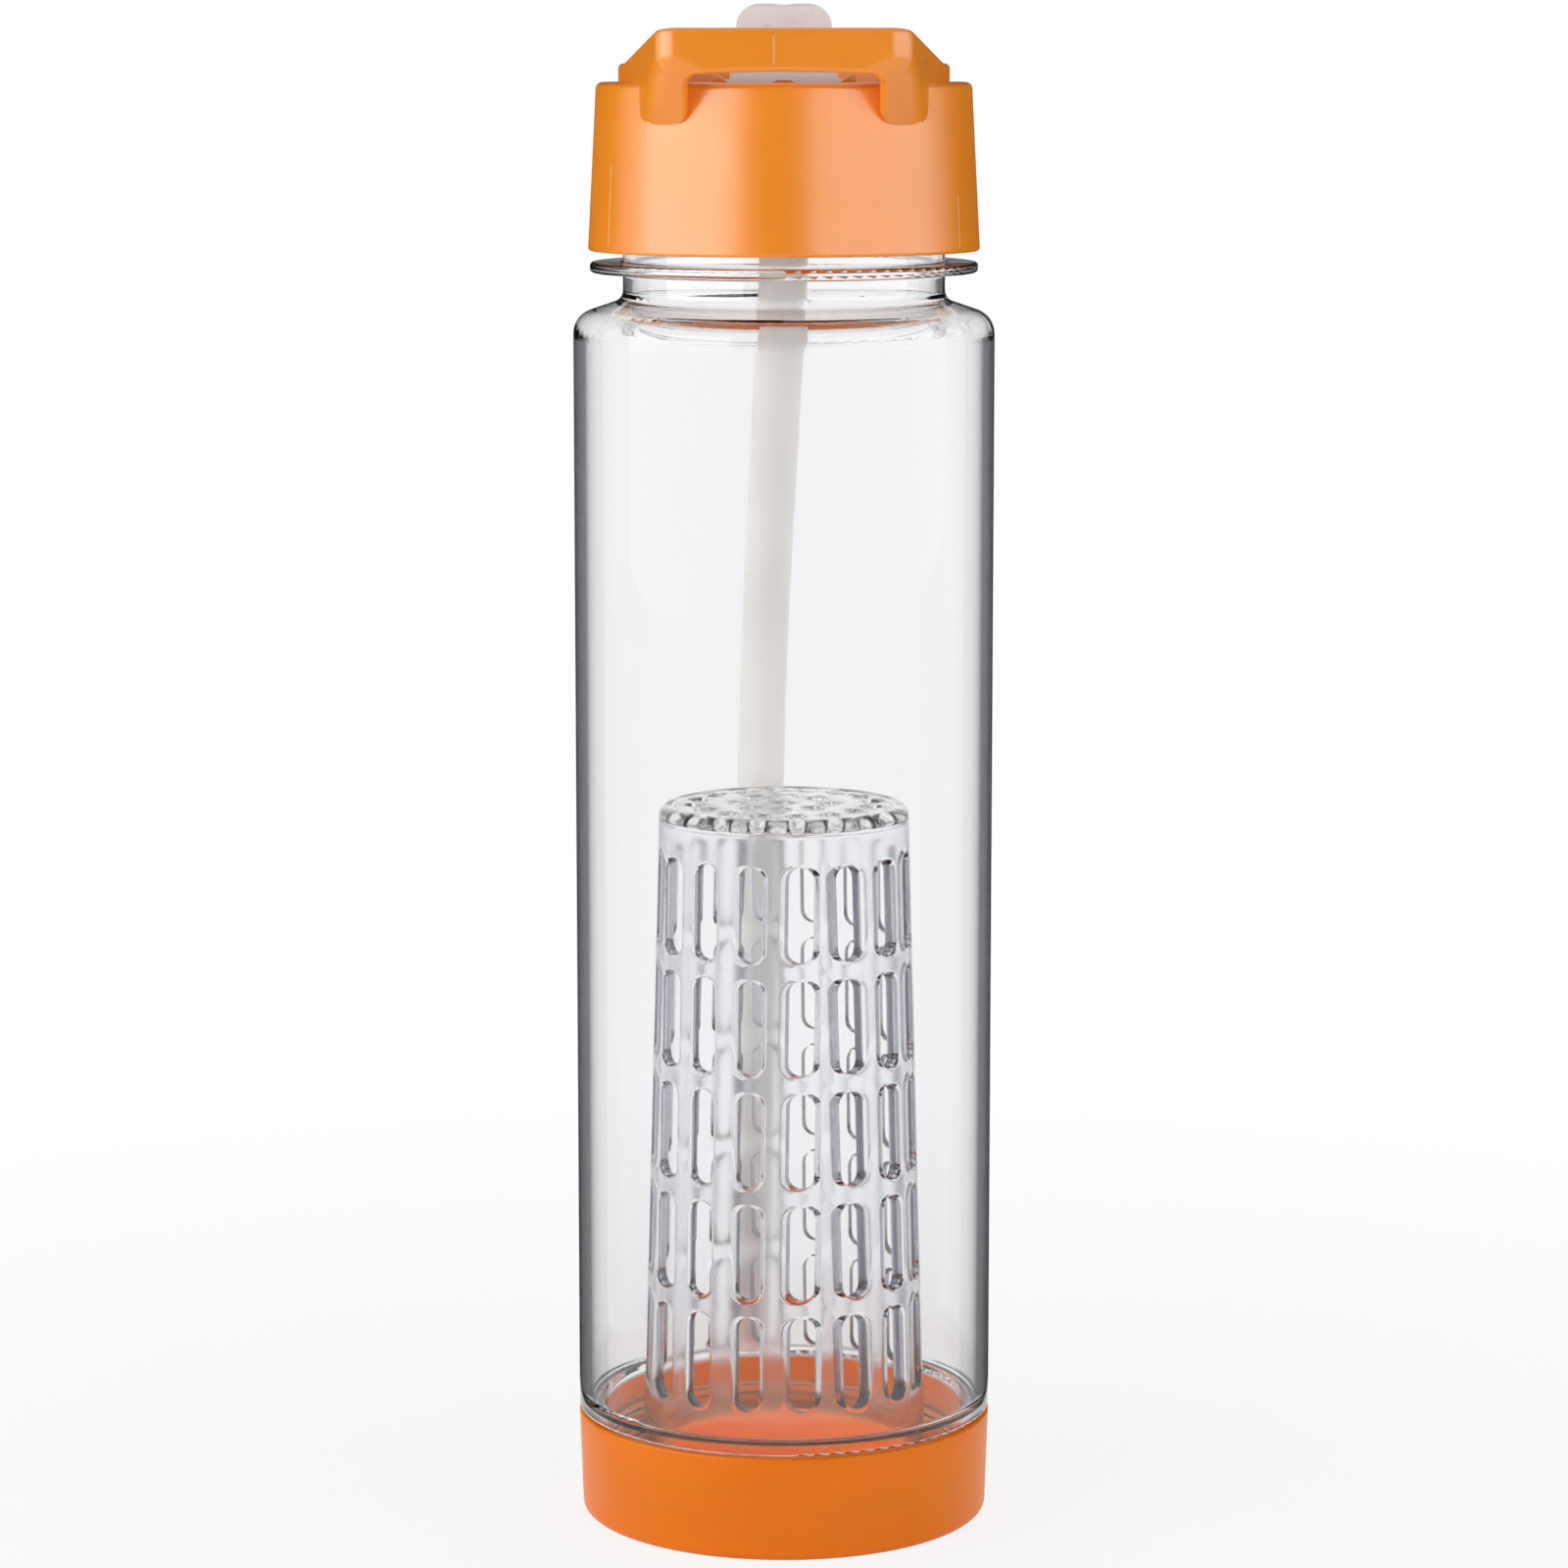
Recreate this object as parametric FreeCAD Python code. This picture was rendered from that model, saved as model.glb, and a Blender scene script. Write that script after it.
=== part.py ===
"""Fruit infuser water bottle: clear body, screw lid with carry loop and flip spout, straw, basket, base.

Millimetres, +Z up. The origin is the centre of the circle that the base stands on.
The bar of the carry loop faces -Y.
"""
import FreeCAD, Part
import math
import os

Vector = FreeCAD.Vector

# Points closer than touch are one point, and points closer than near to an outline lie on it
touch = 1e-6
near = 1e-3

# Bottle body
body_radius = 36.0
body_wall = 2.0
body_height = 190.8
shoulder_slope = math.radians(19.0)
shoulder_round = 4.2
neck_radius = 27.5
neck_wall = 2.0
neck_gap = 4.5
support_ring_width = 5.6
support_ring_height = 1.8
ring_edge_round = 0.7
finish_height = 19.4
lower_neck_height = 13.6
lower_neck_wall = 1.7
step_thickness = 1.6
step_edge_round = 0.95
edge_round = 0.5

# Screw base
foot_recess = 1.0
foot_width = 4.4
foot_round = 1.5
foot_edge_round = 0.4
base_draft = 0.6
base_floor = 2.0
base_wall = 1.6
base_rim_round = 0.5
base_thread_room = 1.4
base_rim_gap = 0.3
base_gasket_thickness = 2.0
gasket_overhang = 0.5
gasket_round = 0.4
boss_height = 8.0
boss_wall = 2.0
boss_round = 0.6
boss_clearance = 0.25

# Screw lid
lid_thread_room = 1.8
lid_wall = 4.1
lid_gap = 1.9
lid_draft = math.radians(3.0)
lid_gasket_thickness = 2.0
lid_plate = 3.2
rim_height = 5.7
rim_width = 3.8
rim_round = 1.2

# Carry loop on the lid
loop_wall = 2.6
loop_taper = math.radians(13.0)
loop_back_height = 3.1
loop_front_height = 9.1
loop_top_bend = 30.0
loop_top_steepest = math.radians(30.0)
bar_reach = 2.5
bar_depth = 4.5
bar_corner_round = 4.0
bar_edge_round = 0.9
loop_edge_round = 0.9
arch_clearance = 2.1
arch_rise = 0.8
arch_straight = 1.54
arch_corner_round = 1.6
leg_width = 4.86
leg_depth = 13.0
leg_foot_drop = 6.9
leg_meet_height = 4.34
leg_blend_round = 5.0
leg_foot_round = 3.0

# Flip spout and its hinge
barrel_radius = 5.5
barrel_half_length = 9.2
barrel_room = 0.3
mouth_half_width = 7.7
mouth_half_depth = 4.0
mouth_tip_half_depth = 3.2
mouth_corner_round = 4.0
mouth_edge_round = 1.6
spout_length = 14.5
spout_bore_radius = 2.5
fold_gap = 0.3
trunnion_radius = 1.8
trunnion_gap = 0.05
ear_gap = 0.4
ear_thickness = 2.6
ear_foot_half = 5.0
ear_top_margin = 1.2
ear_top_round = 1.8
ear_lead_in = 1.6
ear_crest_drop = 0.3
ear_crest_width = 0.5
seal_thickness = 1.5
seal_gap = 0.1
seal_half_length = 7.4
seal_seat_gap = 0.05
rib_half_width = 2.2
rib_depth = 2.0
rib_height = 6.0
rib_round = 1.3

# Straw
straw_radius = 4.2
straw_wall = 0.9
straw_gap = 0.55
straw_end_gap = 1.0
straw_press_gap = 0.02
straw_lean_height = 27.0
straw_bend_radius = 60.0
straw_top_azimuth = math.radians(7.0)
straw_end_azimuth = math.radians(14.0)
straw_knee_reach = 8.0
socket_depth = 12.0
socket_wall = 2.2
port_floor = 2.4
port_shoulder = 3.0

# Vent valve in the lid's plate
vent_azimuth = math.radians(41.0)
vent_setback = 4.95
vent_stem_radius = 1.2
vent_stem_gap = 0.05
vent_head_radius = 3.6
vent_head_thickness = 1.2
vent_head_edge = 0.5
vent_bulb_radius = 1.7
vent_bulb_height = 1.1
vent_bulb_tip = 0.7

# Infuser basket
basket_height = 122.3
basket_draft = math.radians(1.6)
basket_wall = 2.0
basket_top = 2.4
basket_round = 2.0
basket_inner_round = 1.0
basket_edge_round = 0.4
basket_pulls = 4
pull_angle = math.radians(-26.3)
slot_width = 4.2
slot_column_pitch = 8.0
slot_height = 16.5
slot_bridge = 2.95
slot_first_rise = 20.0
slot_top_margin = 6.0
hole_radius = 1.7
hole_ring_pitch = 7.75
hole_ring_step_count = 8
hole_margin = 3.0

# Levels, from the floor up
base_floor_z = foot_recess + base_floor
bottle_bottom_z = base_floor_z + base_gasket_thickness
step_z = bottle_bottom_z + lower_neck_height
base_rim_z = step_z - base_rim_gap
inner_step_z = step_z + step_thickness
shoulder_z = step_z + body_height
neck_base_z = shoulder_z + (body_radius - neck_radius) * math.tan(shoulder_slope)
ring_bottom_z = neck_base_z + neck_gap
ring_top_z = ring_bottom_z + support_ring_height
mouth_z = ring_top_z + finish_height
lid_bottom_z = ring_top_z + lid_gap
ceiling_z = mouth_z + lid_gasket_thickness
deck_z = ceiling_z + lid_plate
rim_z = deck_z + rim_height
pivot_z = deck_z + mouth_half_depth + fold_gap
spout_tip_z = pivot_z + spout_length
pocket_radius = barrel_radius + seal_gap + seal_thickness
straw_stop_z = pivot_z - pocket_radius - port_floor
socket_bottom_z = straw_stop_z - socket_depth
straw_end_z = inner_step_z + straw_end_gap
basket_top_z = base_floor_z + basket_height

# Radii that follow from the fits
body_inner = body_radius - body_wall
neck_inner = neck_radius - neck_wall
ring_radius = neck_radius + support_ring_width
base_inner = body_radius - base_wall
lower_neck_outer = base_inner - base_thread_room
lower_neck_inner = lower_neck_outer - lower_neck_wall
sleeve_inner = neck_radius + lid_thread_room
skirt_radius = sleeve_inner + lid_wall
rim_radius = skirt_radius - (rim_z - lid_bottom_z) * math.tan(lid_draft)
loop_radius = rim_radius - rim_width
recess_radius = loop_radius - loop_wall
leg_foot_z = rim_z - leg_foot_drop
leg_foot_radius = skirt_radius - (leg_foot_z - lid_bottom_z) * math.tan(lid_draft)
bar_front = skirt_radius + bar_reach
bar_back = bar_front - bar_depth
basket_reference_radius = body_inner - 2 * straw_radius - 2 * straw_gap
vent_radius = recess_radius - vent_setback


def in_section(u, v):
    """Section and front outlines lie in the XZ plane."""
    return Vector(u, 0, v)


def in_side(u, v):
    """Side outlines lie in the YZ plane."""
    return Vector(0, u, v)


def corner_points(before, corner, after, radius):
    """Start, middle and end of the arc that rounds one corner of an outline."""
    back = (before - corner).normalize()
    ahead = (after - corner).normalize()
    half_angle = back.getAngle(ahead) / 2
    reach = radius / math.tan(half_angle)
    bisector = (back + ahead).normalize()
    middle = corner + bisector * (radius / math.sin(half_angle) - radius)
    return corner + back * reach, middle, corner + ahead * reach


def fitted_rounds(points, radii):
    """Corner radii, less where a side is too short for the arcs at both of its ends."""
    count = len(points)
    reaches = []
    for index, corner in enumerate(points):
        half_angle = (points[index - 1] - corner).getAngle(points[(index + 1) % count] - corner) / 2
        reaches.append(radii[index] / math.tan(half_angle))
    shares = []
    for index, corner in enumerate(points):
        side = (corner - points[index - 1]).Length
        shares.append(min(1.0, side / max(reaches[index - 1] + reaches[index], touch)))
    return [radius * min(shares[index], shares[(index + 1) % count]) for index, radius in enumerate(radii)]


def outline(corners, place):
    """Closed wire through corners (u, v, radius), each rounded by its own radius."""
    points = [place(u, v) for u, v, radius in corners]
    radii = fitted_rounds(points, [radius for u, v, radius in corners])
    edges = []
    joints = []
    for index, corner in enumerate(points):
        if radii[index] == 0:
            joints.append((corner, corner))
            continue
        after = points[(index + 1) % len(points)]
        start, middle, end = corner_points(points[index - 1], corner, after, radii[index])
        edges.append(Part.Arc(start, middle, end).toShape())
        joints.append((start, end))
    for index, (start, end) in enumerate(joints):
        previous_end = joints[index - 1][1]
        if not previous_end.isEqual(start, touch):
            edges.append(Part.LineSegment(previous_end, start).toShape())
    return Part.Wire(Part.__sortEdges__(edges))


def revolved(corners):
    """Solid of revolution about the bottle's axis."""
    face = Part.Face(outline(corners, in_section))
    return face.revolve(Vector(0, 0, 0), Vector(0, 0, 1), 360)


def extruded(corners, place, start, length):
    """Prism of an outline, from the offset start along the given length."""
    face = Part.Face(outline(corners, place))
    face.translate(start)
    return face.extrude(length)


def along_x(radius, half_length, height):
    """Cylinder along X, centred on the axis at a height."""
    return Part.makeCylinder(radius, 2 * half_length, Vector(-half_length, 0, height), Vector(1, 0, 0))


def upright(radius, bottom, top, x=0.0, y=0.0):
    """Upright cylinder between two levels."""
    return Part.makeCylinder(radius, top - bottom, Vector(x, y, bottom))


def ring(inner, outer, bottom, top, rounding):
    """Flat ring with softened edges."""
    return revolved([
        (inner, bottom, rounding),
        (outer, bottom, rounding),
        (outer, top, rounding),
        (inner, top, rounding),
    ])


def basket_radius(z):
    """Outer radius of the tapered basket at a level."""
    return basket_reference_radius - (z - straw_end_z) * math.tan(basket_draft)


def make_bottle_body():
    """Clear tube: stepped lower neck, straight wall, sloped shoulder, neck with support ring."""
    slope = math.tan(shoulder_slope)
    under_shoulder = body_wall / math.cos(shoulder_slope)
    inner_neck_z = neck_base_z + (neck_radius - neck_inner) * slope - under_shoulder
    inner_shoulder_z = shoulder_z + body_wall * slope - under_shoulder
    return revolved([
        (lower_neck_inner, bottle_bottom_z, edge_round),
        (lower_neck_outer, bottle_bottom_z, edge_round),
        (lower_neck_outer, step_z, edge_round),
        (body_radius, step_z, edge_round),
        (body_radius, shoulder_z, shoulder_round),
        (neck_radius, neck_base_z, body_wall),
        (neck_radius, ring_bottom_z, edge_round),
        (ring_radius, ring_bottom_z, ring_edge_round),
        (ring_radius, ring_top_z, ring_edge_round),
        (neck_radius, ring_top_z, edge_round),
        (neck_radius, mouth_z, edge_round),
        (neck_inner, mouth_z, edge_round),
        (neck_inner, inner_neck_z, body_wall),
        (body_inner, inner_shoulder_z, shoulder_round - edge_round),
        (body_inner, inner_step_z, step_thickness),
        (lower_neck_inner, inner_step_z, step_edge_round),
    ])


def make_base_cup():
    """Orange screw cup: foot ring, floor, thin threaded wall and the boss that the basket sits over."""
    foot_radius = body_radius - base_draft
    foot_inner = foot_radius - foot_width
    boss_outer = basket_radius(base_floor_z) - basket_wall - boss_clearance
    boss_inner = boss_outer - boss_wall
    boss_top_z = base_floor_z + boss_height
    return revolved([
        (0, foot_recess, 0),
        (foot_inner, foot_recess, foot_edge_round),
        (foot_inner, 0, foot_edge_round),
        (foot_radius, 0, foot_round),
        (body_radius, base_rim_z, base_rim_round),
        (base_inner, base_rim_z, base_rim_round),
        (base_inner, base_floor_z, edge_round),
        (boss_outer, base_floor_z, 0),
        (boss_outer, boss_top_z, boss_round),
        (boss_inner, boss_top_z, boss_round),
        (boss_inner, base_floor_z, edge_round),
        (0, base_floor_z, 0),
    ])


def make_base_gasket():
    """Silicone ring that the lower neck presses on the base's floor."""
    return ring(lower_neck_inner - gasket_overhang, lower_neck_outer + gasket_overhang,
                base_floor_z, bottle_bottom_z, gasket_round)


def make_lid_gasket():
    """Silicone ring that the bottle's mouth presses on the lid's ceiling."""
    return ring(neck_inner - gasket_overhang, neck_radius + gasket_overhang,
                mouth_z, ceiling_z, gasket_round)


def slot_cutter(angle, offset, bottom):
    """Round-ended slot pulled straight out of the wall, at a sideways offset from the pull's direction."""
    half = slot_width / 2
    reach = basket_radius(base_floor_z) + basket_wall
    prism = extruded([
        (offset - half, bottom, half),
        (offset + half, bottom, half),
        (offset + half, bottom + slot_height, half),
        (offset - half, bottom + slot_height, half),
    ], in_section, Vector(0, 0, 0), Vector(0, -reach, 0))
    prism.rotate(Vector(0, 0, 0), Vector(0, 0, 1), math.degrees(angle))
    return prism


def basket_slots():
    """Slots in as many rows and columns as fit, made by straight pulls of the mould."""
    pitch_z = slot_height + slot_bridge
    slot_rows = int((basket_height - slot_first_rise - slot_top_margin + slot_bridge) / pitch_z)
    pull_arc = (basket_radius(basket_top_z) - basket_wall / 2) * 2 * math.pi / basket_pulls
    pull_columns = int(pull_arc / slot_column_pitch)
    column_step = 2 * math.pi / (basket_pulls * pull_columns)
    cutters = []
    for pull in range(basket_pulls):
        angle = pull_angle + pull * 2 * math.pi / basket_pulls
        for column in range(pull_columns):
            side = (column - (pull_columns - 1) / 2) * column_step
            for row in range(slot_rows):
                bottom = base_floor_z + slot_first_rise + row * pitch_z
                wall_radius = basket_radius(bottom + slot_height / 2) - basket_wall / 2
                cutters.append(slot_cutter(angle, wall_radius * math.sin(side), bottom))
    return cutters


def basket_holes():
    """Round holes in the top disc: one in the middle and as many rings round it as fit."""
    hole_bottom = basket_top_z - 2 * basket_top
    hole_top = basket_top_z + basket_top
    ring_count = int((basket_radius(basket_top_z) - hole_margin - hole_radius) / hole_ring_pitch)
    holes = [upright(hole_radius, hole_bottom, hole_top)]
    for ring_index in range(1, ring_count + 1):
        reach = ring_index * hole_ring_pitch
        count = ring_index * hole_ring_step_count
        for index in range(count):
            angle = pull_angle + (index + 0.5) * 2 * math.pi / count
            x = reach * math.sin(angle)
            y = -reach * math.cos(angle)
            holes.append(upright(hole_radius, hole_bottom, hole_top, x, y))
    return holes


def make_infuser_basket():
    """Clear inverted cup, tapered, slotted all round and drilled on top, open at the bottom."""
    foot = basket_radius(base_floor_z)
    crown = basket_radius(basket_top_z)
    inner_top_z = basket_top_z - basket_top
    inner_crown = basket_radius(inner_top_z) - basket_wall
    cup = revolved([
        (foot - basket_wall, base_floor_z, basket_edge_round),
        (foot, base_floor_z, basket_edge_round),
        (crown, basket_top_z, basket_round),
        (0, basket_top_z, 0),
        (0, inner_top_z, 0),
        (inner_crown, inner_top_z, basket_inner_round),
    ])
    return cup.cut(basket_slots() + basket_holes())


def beside_wall(radius, azimuth, z):
    """Point at a radius and a level, turned from the back towards -X by an azimuth."""
    return Vector(-radius * math.sin(azimuth), radius * math.cos(azimuth), z)


def straw_path():
    """Straw's centre line: down from the socket, back to the wall above the basket, then down beside it."""
    end_radius = body_inner - straw_gap - straw_radius
    lean_z = basket_top_z + straw_lean_height
    lean_radius = end_radius - straw_gap
    points = [
        Vector(0, 0, straw_stop_z),
        Vector(0, 0, socket_bottom_z - straw_knee_reach),
        beside_wall(lean_radius, straw_top_azimuth, lean_z),
        beside_wall(end_radius, straw_end_azimuth, straw_end_z),
    ]
    knee_turn = (points[1] - points[0]).getAngle(points[2] - points[1])
    knee_radius = straw_knee_reach / math.tan(knee_turn / 2)
    edges = []
    last = points[0]
    for index, radius in ((1, knee_radius), (2, straw_bend_radius)):
        start, middle, end = corner_points(points[index - 1], points[index], points[index + 1], radius)
        edges.append(Part.LineSegment(last, start).toShape())
        edges.append(Part.Arc(start, middle, end).toShape())
        last = end
    edges.append(Part.LineSegment(last, points[3]).toShape())
    return Part.Wire(edges)


def make_straw():
    """Bent drinking straw, a tube pushed into the lid's socket."""
    path = straw_path()
    start = Vector(0, 0, straw_stop_z)
    tubes = []
    for radius in (straw_radius, straw_radius - straw_wall):
        circle = Part.Wire(Part.makeCircle(radius, start, Vector(0, 0, -1)))
        tubes.append(path.makePipeShell([circle], True, False))
    return tubes[0].cut(tubes[1])


def loop_plan(inset, front):
    """Plan of the loop: round at the back, with straight sides that close in towards the front."""
    radius = loop_radius - inset
    tangent_x = radius * math.cos(loop_taper)
    tangent_y = -radius * math.sin(loop_taper)
    front_x = tangent_x - (front + tangent_y) * math.tan(loop_taper)
    return radius, tangent_x, tangent_y, front_x


def loop_prism(inset, front, corner_round, bottom, top):
    """Upright prism of the loop's plan between two levels."""
    radius, tangent_x, tangent_y, front_x = loop_plan(inset, front)
    right = Vector(tangent_x, tangent_y, 0)
    left = Vector(-tangent_x, tangent_y, 0)
    corner_right = Vector(front_x, -front, 0)
    corner_left = Vector(-front_x, -front, 0)
    start_right, middle_right, end_right = corner_points(right, corner_right, corner_left, corner_round)
    start_left, middle_left, end_left = corner_points(corner_right, corner_left, left, corner_round)
    wire = Part.Wire([
        Part.Arc(left, Vector(0, radius, 0), right).toShape(),
        Part.LineSegment(right, start_right).toShape(),
        Part.Arc(start_right, middle_right, end_right).toShape(),
        Part.LineSegment(end_right, start_left).toShape(),
        Part.Arc(start_left, middle_left, end_left).toShape(),
        Part.LineSegment(end_left, left).toShape(),
    ])
    face = Part.Face(wire)
    face.translate(Vector(0, 0, bottom))
    return face.extrude(Vector(0, 0, top - bottom))


def loop_envelope():
    """Space under the loop's sloped top and inside the flare that its legs spring from."""
    back_z = rim_z + loop_back_height
    front_z = rim_z + loop_front_height
    plan = loop_plan(0, bar_front)
    slope_y = -plan[2]
    corner_radius = math.hypot(plan[3], bar_front)
    flare = (corner_radius - leg_foot_radius) / (leg_foot_drop + leg_meet_height)
    flare_radius = leg_foot_radius + (front_z - leg_foot_z) * flare
    flare_cone = revolved([
        (0, leg_foot_z, 0),
        (leg_foot_radius, leg_foot_z, 0),
        (flare_radius, front_z, 0),
        (0, front_z, 0),
    ])
    roof = extruded([
        (-bar_front, leg_foot_z, 0),
        (bar_front, leg_foot_z, 0),
        (bar_front, back_z, 0),
        (-slope_y, back_z, loop_top_bend),
        (-bar_front, front_z, 0),
    ], in_side, Vector(-bar_front, 0, 0), Vector(2 * bar_front, 0, 0))
    return flare_cone.common(roof)


def flare_edges(block):
    """Edges where the flare meets the bar and the loop's sides."""
    for face in block.Faces:
        if isinstance(face.Surface, Part.Cone):
            return [edge for edge in face.Edges if not isinstance(edge.Curve, Part.Circle)]


def roof_edges(block):
    """Edges all round the loop's top, where only one of its two faces looks up."""
    edges = []
    for face in block.Faces:
        u_start, u_end, v_start, v_end = face.ParameterRange
        normal = face.normalAt((u_start + u_end) / 2, (v_start + v_end) / 2)
        if normal.z > math.cos(loop_top_steepest) and face.CenterOfMass.z > rim_z:
            edges.extend(face.Edges)
    return [edge for edge in edges if sum(edge.isSame(other) for other in edges) == 1]


def arch_edges(loop, arch):
    """Edges where the arch runs out through the loop's front."""
    chosen = []
    for edge in loop.Edges:
        points = edge.discretize(3)
        ahead = all(point.y < -bar_back - near for point in points)
        shadows = [Part.Vertex(point.x, 0, point.z) for point in points]
        if ahead and all(shadow.distToShape(arch)[0] < near for shadow in shadows):
            chosen.append(edge)
    return chosen


def foot_corners(inner_x):
    """What rounding takes from the lower corners of both legs, seen from the front."""
    radius, tangent_x, tangent_y, front_x = loop_plan(0, bar_front)
    outer_x = tangent_x - math.sqrt(leg_foot_radius ** 2 - radius ** 2) * math.sin(loop_taper)
    corners = Part.makeBox(2 * bar_front, leg_depth, leg_foot_round,
                           Vector(-bar_front, -bar_front, leg_foot_z))
    for sign in (-1, 1):
        corners = corners.cut(extruded([
            (sign * inner_x, leg_foot_z, leg_foot_round),
            (sign * outer_x, leg_foot_z, leg_foot_round),
            (sign * outer_x, rim_z, 0),
            (sign * inner_x, rim_z, 0),
        ], in_section, Vector(0, -bar_front, 0), Vector(0, leg_depth, 0)))
    return corners


def make_carry_loop():
    """Carry loop: thin wall round the back, two legs flaring from the skirt and a bar across the front."""
    top_z = rim_z + loop_front_height
    tall = top_z - leg_foot_z
    arch_half_width = loop_plan(0, bar_front)[3] - leg_width
    hoop = loop_prism(0, bar_front, bar_corner_round, leg_foot_z, top_z)
    hollow = loop_prism(loop_wall, bar_back, bar_corner_round - loop_wall, leg_foot_z, top_z)
    leg_room = Part.makeBox(2 * bar_front, leg_depth, tall, Vector(-bar_front, -bar_front, leg_foot_z))
    between = Part.makeBox(2 * arch_half_width, bar_front, tall,
                           Vector(-arch_half_width, -bar_back, leg_foot_z))
    legs = hoop.common(leg_room).cut(between)
    arch_top_z = rim_z + arch_clearance
    arch_bow_reach = arch_half_width - arch_corner_round - arch_straight
    arch_bow = arch_bow_reach * arch_half_width / arch_rise
    arch = outline([
        (-arch_half_width, leg_foot_z, 0),
        (arch_half_width, leg_foot_z, 0),
        (arch_half_width, arch_top_z - arch_rise, arch_corner_round),
        (0, arch_top_z, arch_bow),
        (-arch_half_width, arch_top_z - arch_rise, arch_corner_round),
    ], in_section)
    under_arch = Part.Face(arch).extrude(Vector(0, -2 * bar_front, 0))
    block = hoop.common(loop_envelope()).removeSplitter()
    block = block.makeFillet(leg_blend_round, flare_edges(block))
    block = block.makeFillet(loop_edge_round, roof_edges(block))
    loop = block.cut([hollow.cut(legs), under_arch]).removeSplitter()
    loop = loop.makeFillet(bar_edge_round, arch_edges(loop, arch))
    return loop.cut(foot_corners(arch_half_width)).removeSplitter()


def make_ears():
    """Two upright ears with a slanted lead-in, each holding one trunnion of the spout."""
    inner = barrel_half_length + ear_gap
    outer = inner + ear_thickness
    top_z = pivot_z + trunnion_radius + ear_top_margin
    half_top = trunnion_radius + ear_top_margin
    side = extruded([
        (-ear_foot_half, ceiling_z, 0),
        (ear_foot_half, ceiling_z, 0),
        (ear_foot_half, deck_z, 0),
        (half_top, top_z, ear_top_round),
        (-half_top, top_z, ear_top_round),
        (-ear_foot_half, deck_z, 0),
    ], in_side, Vector(-outer, 0, 0), Vector(2 * outer, 0, 0))
    ears = []
    for sign in (-1, 1):
        front = extruded([
            (sign * inner, ceiling_z, 0),
            (sign * outer, ceiling_z, 0),
            (sign * outer, top_z - ear_crest_drop, 0),
            (sign * (outer - ear_crest_width), top_z, 0),
            (sign * inner, top_z - ear_lead_in, 0),
        ], in_section, Vector(0, -ear_foot_half, 0), Vector(0, 2 * ear_foot_half, 0))
        ears.append(side.common(front))
    return ears


def make_spout_rib():
    """Small rounded rib on the deck in front of the barrel."""
    back = -(pocket_radius + seal_gap)
    return extruded([
        (-rib_half_width, ceiling_z, 0),
        (rib_half_width, ceiling_z, 0),
        (rib_half_width, deck_z + rib_height, rib_round),
        (-rib_half_width, deck_z + rib_height, rib_round),
    ], in_section, Vector(0, back, 0), Vector(0, -rib_depth, 0))


def vent_place():
    """Place of the vent valve in plan, behind the spout and inside the recess."""
    return vent_radius * math.sin(vent_azimuth), vent_radius * math.cos(vent_azimuth)


def make_lid_cap():
    """Orange lid: drafted skirt, plate with recess, carry loop, hinge ears, seal pocket and straw socket."""
    shell = revolved([
        (0, ceiling_z, 0),
        (sleeve_inner, ceiling_z, 0),
        (sleeve_inner, lid_bottom_z, edge_round),
        (skirt_radius, lid_bottom_z, edge_round),
        (rim_radius, rim_z, rim_round),
        (recess_radius, rim_z, edge_round),
        (recess_radius, deck_z, edge_round),
        (0, deck_z, 0),
    ])
    socket_outer = straw_radius + straw_press_gap + socket_wall
    socket = revolved([
        (0, socket_bottom_z, 0),
        (socket_outer, socket_bottom_z, edge_round),
        (socket_outer, straw_stop_z, edge_round),
        (socket_outer + port_shoulder, straw_stop_z, edge_round),
        (socket_outer + port_shoulder, deck_z, 0),
        (0, deck_z, 0),
    ])
    vent_x, vent_y = vent_place()
    solid = shell.fuse([socket, make_carry_loop(), make_spout_rib()] + make_ears()).removeSplitter()
    ear_outer = barrel_half_length + ear_gap + ear_thickness
    cuts = [
        along_x(pocket_radius, seal_half_length + seal_seat_gap, pivot_z),
        along_x(barrel_radius + barrel_room, barrel_half_length + ear_gap, pivot_z),
        along_x(trunnion_radius + trunnion_gap, ear_outer, pivot_z),
        upright(straw_radius + straw_press_gap, socket_bottom_z, straw_stop_z),
        upright(spout_bore_radius, straw_stop_z, pivot_z),
        upright(vent_stem_radius + vent_stem_gap, ceiling_z, deck_z, vent_x, vent_y),
    ]
    return solid.cut(cuts).removeSplitter()


def make_flip_spout():
    """Clear mouthpiece, flat and rounded, on a cross barrel with a trunnion at each end."""
    front = extruded([
        (-barrel_half_length, pivot_z, 0),
        (barrel_half_length, pivot_z, 0),
        (mouth_half_width, spout_tip_z, mouth_corner_round),
        (-mouth_half_width, spout_tip_z, mouth_corner_round),
    ], in_section, Vector(0, -barrel_radius, 0), Vector(0, 2 * barrel_radius, 0))
    side = extruded([
        (-mouth_half_depth, pivot_z, 0),
        (mouth_half_depth, pivot_z, 0),
        (mouth_tip_half_depth, spout_tip_z, mouth_edge_round),
        (-mouth_tip_half_depth, spout_tip_z, mouth_edge_round),
    ], in_side, Vector(-barrel_half_length, 0, 0), Vector(2 * barrel_half_length, 0, 0))
    barrel = along_x(barrel_radius, barrel_half_length, pivot_z)
    trunnions = along_x(trunnion_radius, barrel_half_length + ear_gap + ear_thickness, pivot_z)
    spout = front.common(side).fuse([barrel, trunnions]).removeSplitter()
    bore = upright(spout_bore_radius, pivot_z - barrel_radius, spout_tip_z)
    return spout.cut(bore)


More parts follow.
